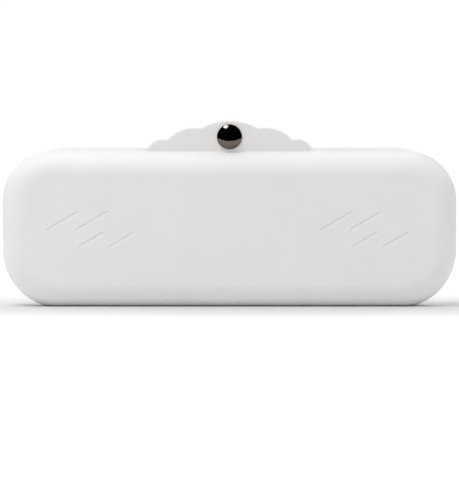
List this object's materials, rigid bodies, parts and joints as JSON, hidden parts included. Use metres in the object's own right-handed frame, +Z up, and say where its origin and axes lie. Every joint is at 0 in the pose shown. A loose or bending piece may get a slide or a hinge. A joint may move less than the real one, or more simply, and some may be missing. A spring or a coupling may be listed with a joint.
{
  "type": "makeup brush pouch",
  "caption": "Flat soft silicone pouch for makeup brushes, with a slit mouth, relief holes at its ends and two scalloped tabs closed by a magnetic button.",
  "frame": {"origin": "centre of the flat foot that the pouch stands on", "axes": "+Z up out of the mouth, +X along the pouch, and the grooved front faces -Y"},
  "size_m": [0.22, 0.026, 0.09],
  "materials": {
    "silicone": "soft-touch matte silicone",
    "cap": "polished black nickel",
    "rivet": "nickel-plated steel",
    "cup": "black-nickel-plated steel",
    "magnet": "nickel-plated magnet, lightly brushed"
  },
  "bodies": {
    "base": {"pouch_base": "silicone"},
    "front_wall": {"front_wall": "silicone"},
    "rear_wall": {"rear_wall": "silicone"},
    "front_tab": {"front_tab": "silicone", "front_cap_shell": "cap", "front_rivet_post": "rivet", "front_magnet_cup": "cup", "front_ring_magnet": "magnet"},
    "rear_tab": {"rear_tab": "silicone", "rear_cap_shell": "cap", "rear_rivet_post": "rivet", "rear_magnet_cup": "cup", "rear_ring_magnet": "magnet"}
  },
  "joints": [
    {"name": "front_wall_flex", "type": "hinge", "parent": "base", "child": "front_wall", "pos_m": [0, -0.013, 0.036], "axis": [1, 0, 0], "range_deg": [0, 23], "stiffness_Nm_per_rad": 0.1},
    {"name": "rear_wall_flex", "type": "hinge", "parent": "base", "child": "rear_wall", "pos_m": [0, 0.013, 0.036], "axis": [-1, 0, 0], "range_deg": [0, 23], "stiffness_Nm_per_rad": 0.1},
    {"name": "front_tab_flex", "type": "hinge", "parent": "front_wall", "child": "front_tab", "pos_m": [0, -0.0042, 0.075], "axis": [1, 0, 0], "range_deg": [0, 11], "stiffness_Nm_per_rad": 0.02},
    {"name": "rear_tab_flex", "type": "hinge", "parent": "rear_wall", "child": "rear_tab", "pos_m": [0, 0.0042, 0.075], "axis": [-1, 0, 0], "range_deg": [0, 11], "stiffness_Nm_per_rad": 0.02}
  ]
}
